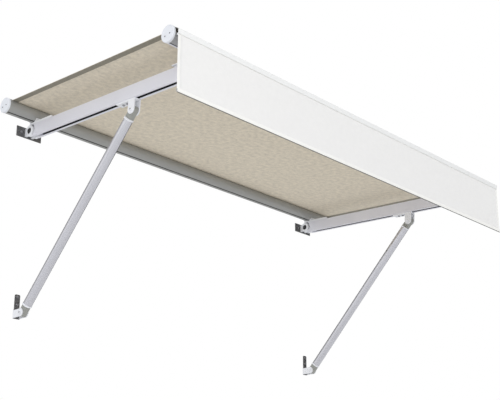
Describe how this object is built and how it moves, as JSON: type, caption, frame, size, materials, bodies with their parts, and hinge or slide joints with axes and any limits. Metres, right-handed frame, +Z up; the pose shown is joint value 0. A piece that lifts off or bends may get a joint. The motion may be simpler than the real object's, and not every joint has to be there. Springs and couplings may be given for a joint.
{
  "type": "fabric awning",
  "caption": "Wall-mounted fabric awning with round roller housings, sliding guide rails, a drop valance and diagonal support struts.",
  "frame": {"origin": "middle of the left upper wall plate's back face, level with the rail's hub axis", "axes": "+X along the awning's width from the left rail to the right one, +Y into the wall, +Z up; the front is at -Y"},
  "size_m": [2.929, 1.5699, 1.2683],
  "materials": {
    "anodised_aluminium": "satin silver anodising",
    "roller_aluminium": "plain mill finish",
    "white_coated_aluminium": "satin white powder coat",
    "white_cast_fitting": "satin light grey powder coat",
    "stainless_steel": "plain stainless steel",
    "grey_plastic": "moulded grey plastic",
    "black_plastic": "moulded black plastic",
    "black_rubber": "reinforced rubber belt",
    "beige_fabric": "taut woven acrylic with olive side hems",
    "white_fabric": "off-white woven screen cloth"
  },
  "bodies": {
    "wall_brackets": {"upper_wall_bracket_left": "white_cast_fitting", "upper_wall_bracket_right": "white_cast_fitting", "upper_wall_screw_left_a": "stainless_steel", "upper_wall_screw_left_b": "stainless_steel", "upper_wall_screw_right_a": "stainless_steel", "upper_wall_screw_right_b": "stainless_steel", "rail_pivot_bolt_left": "stainless_steel", "rail_pivot_bolt_right": "stainless_steel", "lower_wall_bracket_left": "white_cast_fitting", "lower_wall_bracket_right": "white_cast_fitting", "lower_wall_screw_left_a": "stainless_steel", "lower_wall_screw_left_b": "stainless_steel", "lower_wall_screw_right_a": "stainless_steel", "lower_wall_screw_right_b": "stainless_steel", "strut_foot_bolt_left": "stainless_steel", "strut_foot_bolt_right": "stainless_steel"},
    "rail_frame": {"guide_rail_left": "anodised_aluminium", "guide_rail_right": "anodised_aluminium", "rail_hub_left": "white_cast_fitting", "rail_hub_right": "white_cast_fitting", "rail_front_cap_left": "grey_plastic", "rail_front_cap_right": "grey_plastic", "rear_saddle_left": "white_cast_fitting", "rear_saddle_right": "white_cast_fitting", "rear_housing_body": "anodised_aluminium", "rear_housing_cover": "anodised_aluminium", "rear_end_cap_left": "white_coated_aluminium", "rear_end_cap_right": "white_coated_aluminium", "awning_fabric": "beige_fabric", "belt_pulley_rear_left": "black_plastic", "belt_pulley_rear_right": "black_plastic", "belt_pulley_front_left": "black_plastic", "belt_pulley_front_right": "black_plastic", "tension_belt_left": "black_rubber", "tension_belt_right": "black_rubber"},
    "clevis_left": {"clevis_bracket_left": "white_cast_fitting", "clevis_bolt_left": "stainless_steel", "slot_nut_left": "stainless_steel"},
    "clevis_right": {"clevis_bracket_right": "white_cast_fitting", "clevis_bolt_right": "stainless_steel", "slot_nut_right": "stainless_steel"},
    "strut_left": {"strut_tube_left": "anodised_aluminium", "strut_upper_eye_left": "white_cast_fitting", "strut_lower_eye_left": "white_cast_fitting"},
    "strut_right": {"strut_tube_right": "anodised_aluminium", "strut_upper_eye_right": "white_cast_fitting", "strut_lower_eye_right": "white_cast_fitting"},
    "fabric_roller": {"fabric_roller": "roller_aluminium", "tube_motor": "black_plastic", "roller_idler": "black_plastic"},
    "front_bar": {"front_runner_left": "white_cast_fitting", "front_runner_right": "white_cast_fitting", "front_housing_body": "anodised_aluminium", "front_housing_cover": "white_coated_aluminium", "front_housing_nose": "white_coated_aluminium", "front_end_cap_left": "white_coated_aluminium", "front_end_cap_right": "white_coated_aluminium", "valance_fabric": "white_fabric"},
    "valance_roller": {"valance_roller": "roller_aluminium"},
    "valance_bar": {"valance_bar": "stainless_steel"}
  },
  "joints": [
    {"name": "rail_pitch", "type": "hinge", "parent": "wall_brackets", "child": "rail_frame", "pos_m": [0, -0.05, 0], "axis": [1, 0, 0], "range_deg": [-2.5, 2.5]},
    {"name": "strut_left_swing", "type": "hinge", "parent": "wall_brackets", "child": "strut_left", "pos_m": [0, -0.07, -1.106], "axis": [1, 0, 0], "range_deg": [-2.8, 2.8]},
    {"name": "strut_right_swing", "type": "hinge", "parent": "wall_brackets", "child": "strut_right", "pos_m": [2.48, -0.07, -1.106], "axis": [1, 0, 0], "range_deg": [-2.8, 2.8]},
    {"name": "clevis_left_slide", "type": "slide", "parent": "rail_frame", "child": "clevis_left", "axis": [0, -0.9974, -0.0715], "range_m": [-0.0532, 0.0532]},
    {"name": "clevis_right_slide", "type": "slide", "parent": "rail_frame", "child": "clevis_right", "axis": [0, -0.9974, -0.0715], "range_m": [-0.0532, 0.0532]},
    {"name": "front_slide", "type": "slide", "parent": "rail_frame", "child": "front_bar", "axis": [0, 0.9974, 0.0715], "range_m": [0, 1.18], "deforming": ["awning_fabric"]},
    {"name": "fabric_roller_turn", "type": "hinge", "parent": "rail_frame", "child": "fabric_roller", "pos_m": [1.24, -0.0756, 0.0914], "axis": [-1, 0, 0], "range_deg": [0, 2220]},
    {"name": "valance_lift", "type": "slide", "parent": "front_bar", "child": "valance_bar", "axis": [0, 0, 1], "range_m": [0, 0.27], "deforming": ["valance_fabric"]},
    {"name": "valance_roller_turn", "type": "hinge", "parent": "front_bar", "child": "valance_roller", "pos_m": [1.24, -1.50344, -0.01095], "axis": [-1, 0, 0], "range_deg": [0, 870]}
  ],
  "couplings": [
    {"joint": "strut_left_swing", "follows": "rail_pitch", "ratio": 1.1162},
    {"joint": "strut_right_swing", "follows": "rail_pitch", "ratio": 1.1162},
    {"joint": "clevis_left_slide", "follows": "rail_pitch", "m_per_rad": 1.2176},
    {"joint": "clevis_right_slide", "follows": "rail_pitch", "m_per_rad": 1.2176},
    {"joint": "fabric_roller_turn", "follows": "front_slide", "rad_per_m": 32.787},
    {"joint": "valance_roller_turn", "follows": "valance_lift", "rad_per_m": 56.18}
  ]
}
